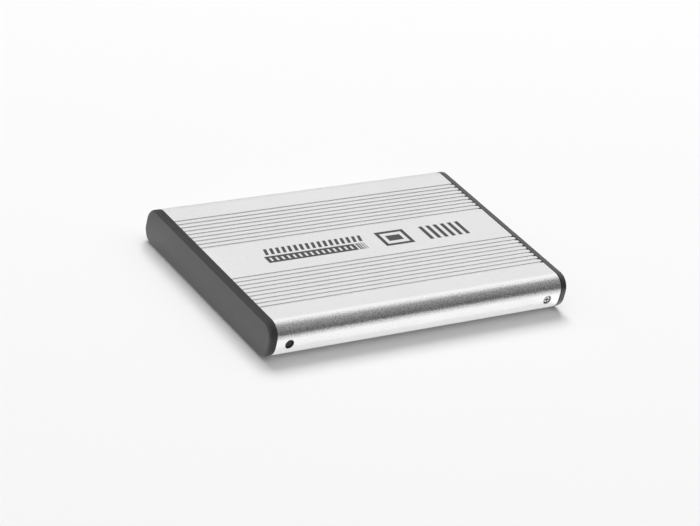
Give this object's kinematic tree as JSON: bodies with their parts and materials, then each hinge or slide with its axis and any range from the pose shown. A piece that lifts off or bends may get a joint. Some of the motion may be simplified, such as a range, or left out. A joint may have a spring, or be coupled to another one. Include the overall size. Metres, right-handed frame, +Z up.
{
  "type": "external hard drive",
  "caption": "Flat external hard drive: a grooved extruded aluminium sleeve closed by two dark plastic end caps, with a small disk drive and its bridge board inside.",
  "frame": {"origin": "centre of the resting face, under the middle of the case", "axes": "+X along the extrusion towards the end cap with the data socket, +Y across the case, +Z up from the resting face"},
  "size_m": [0.118, 0.076, 0.0124],
  "materials": {
    "blasted_aluminium": "bead-blasted and clear anodised extrusion",
    "dark_plastic": "satin dark grey moulding",
    "bright_steel": "bright plated screws",
    "zinc_screw": "zinc plated small screws",
    "board_green": "solder mask over glass laminate",
    "black_plastic": "black connector and chip moulding",
    "gold_plating": "gold plated contacts",
    "plated_shell": "tin plated sheet",
    "ceramic_tan": "ceramic chip parts",
    "clear_plastic": "clear moulding",
    "foam": "closed-cell foam strip",
    "cast_alloy": "die-cast base",
    "cover_plate": "stamped cover",
    "machined_alloy": "fine machined",
    "bearing_steel": "ground steel",
    "stator_steel": "laminated electrical steel",
    "copper": "enamelled copper winding",
    "magnet": "nickel plated magnet",
    "disk_mirror": "polished recording disk",
    "head_ceramic": "dark ceramic sliders",
    "ramp_plastic": "natural low-friction moulding",
    "amber_film": "polyimide flexible circuit"
  },
  "bodies": {
    "enclosure": {"body_sleeve": "blasted_aluminium", "plain_end_cap": "dark_plastic", "port_end_cap": "dark_plastic", "cap_screws": "bright_steel", "bridge_board": "board_green", "sata_socket": "black_plastic", "socket_pins": "gold_plating", "usb_shell": "plated_shell", "usb_tongue": "black_plastic", "usb_contacts": "gold_plating", "bridge_chip": "black_plastic", "memory_chip": "black_plastic", "crystal": "plated_shell", "board_capacitors": "ceramic_tan", "status_led": "clear_plastic", "light_guide": "clear_plastic", "board_screws": "zinc_screw", "foam_pads": "foam", "drive_base": "cast_alloy", "cover_gasket": "foam", "drive_cover": "cover_plate", "cover_screws": "zinc_screw", "spindle_bearing": "bearing_steel", "motor_stator": "stator_steel", "stator_coils": "copper", "pivot_post": "bearing_steel", "lower_yoke": "bearing_steel", "lower_magnet": "magnet", "upper_yoke": "bearing_steel", "upper_magnet": "magnet", "yoke_posts": "bearing_steel", "parking_ramp": "ramp_plastic", "flex_bracket": "machined_alloy", "flex_cable": "amber_film", "air_filter": "ramp_plastic", "drive_board": "board_green", "drive_plug": "black_plastic", "plug_contacts": "gold_plating", "drive_chips": "black_plastic", "drive_board_screws": "zinc_screw"},
    "disk_pack": {"spindle_hub": "machined_alloy", "rotor_magnet": "magnet", "platter": "disk_mirror", "platter_clamp": "machined_alloy", "clamp_screw": "zinc_screw"},
    "head_arm": {"actuator_arm": "machined_alloy", "pivot_bearing": "bearing_steel", "voice_coil": "copper", "head_suspensions": "bearing_steel", "read_heads": "head_ceramic"}
  },
  "joints": [
    {"name": "disk_spin", "type": "hinge", "parent": "enclosure", "child": "disk_pack", "pos_m": [-0.0204, 0, 0.007], "axis": [0, 0, 1], "continuous": true},
    {"name": "arm_swing", "type": "hinge", "parent": "enclosure", "child": "head_arm", "pos_m": [0.0178, 0.009, 0.007], "axis": [0, 0, -1], "range_deg": [0, 35]}
  ]
}
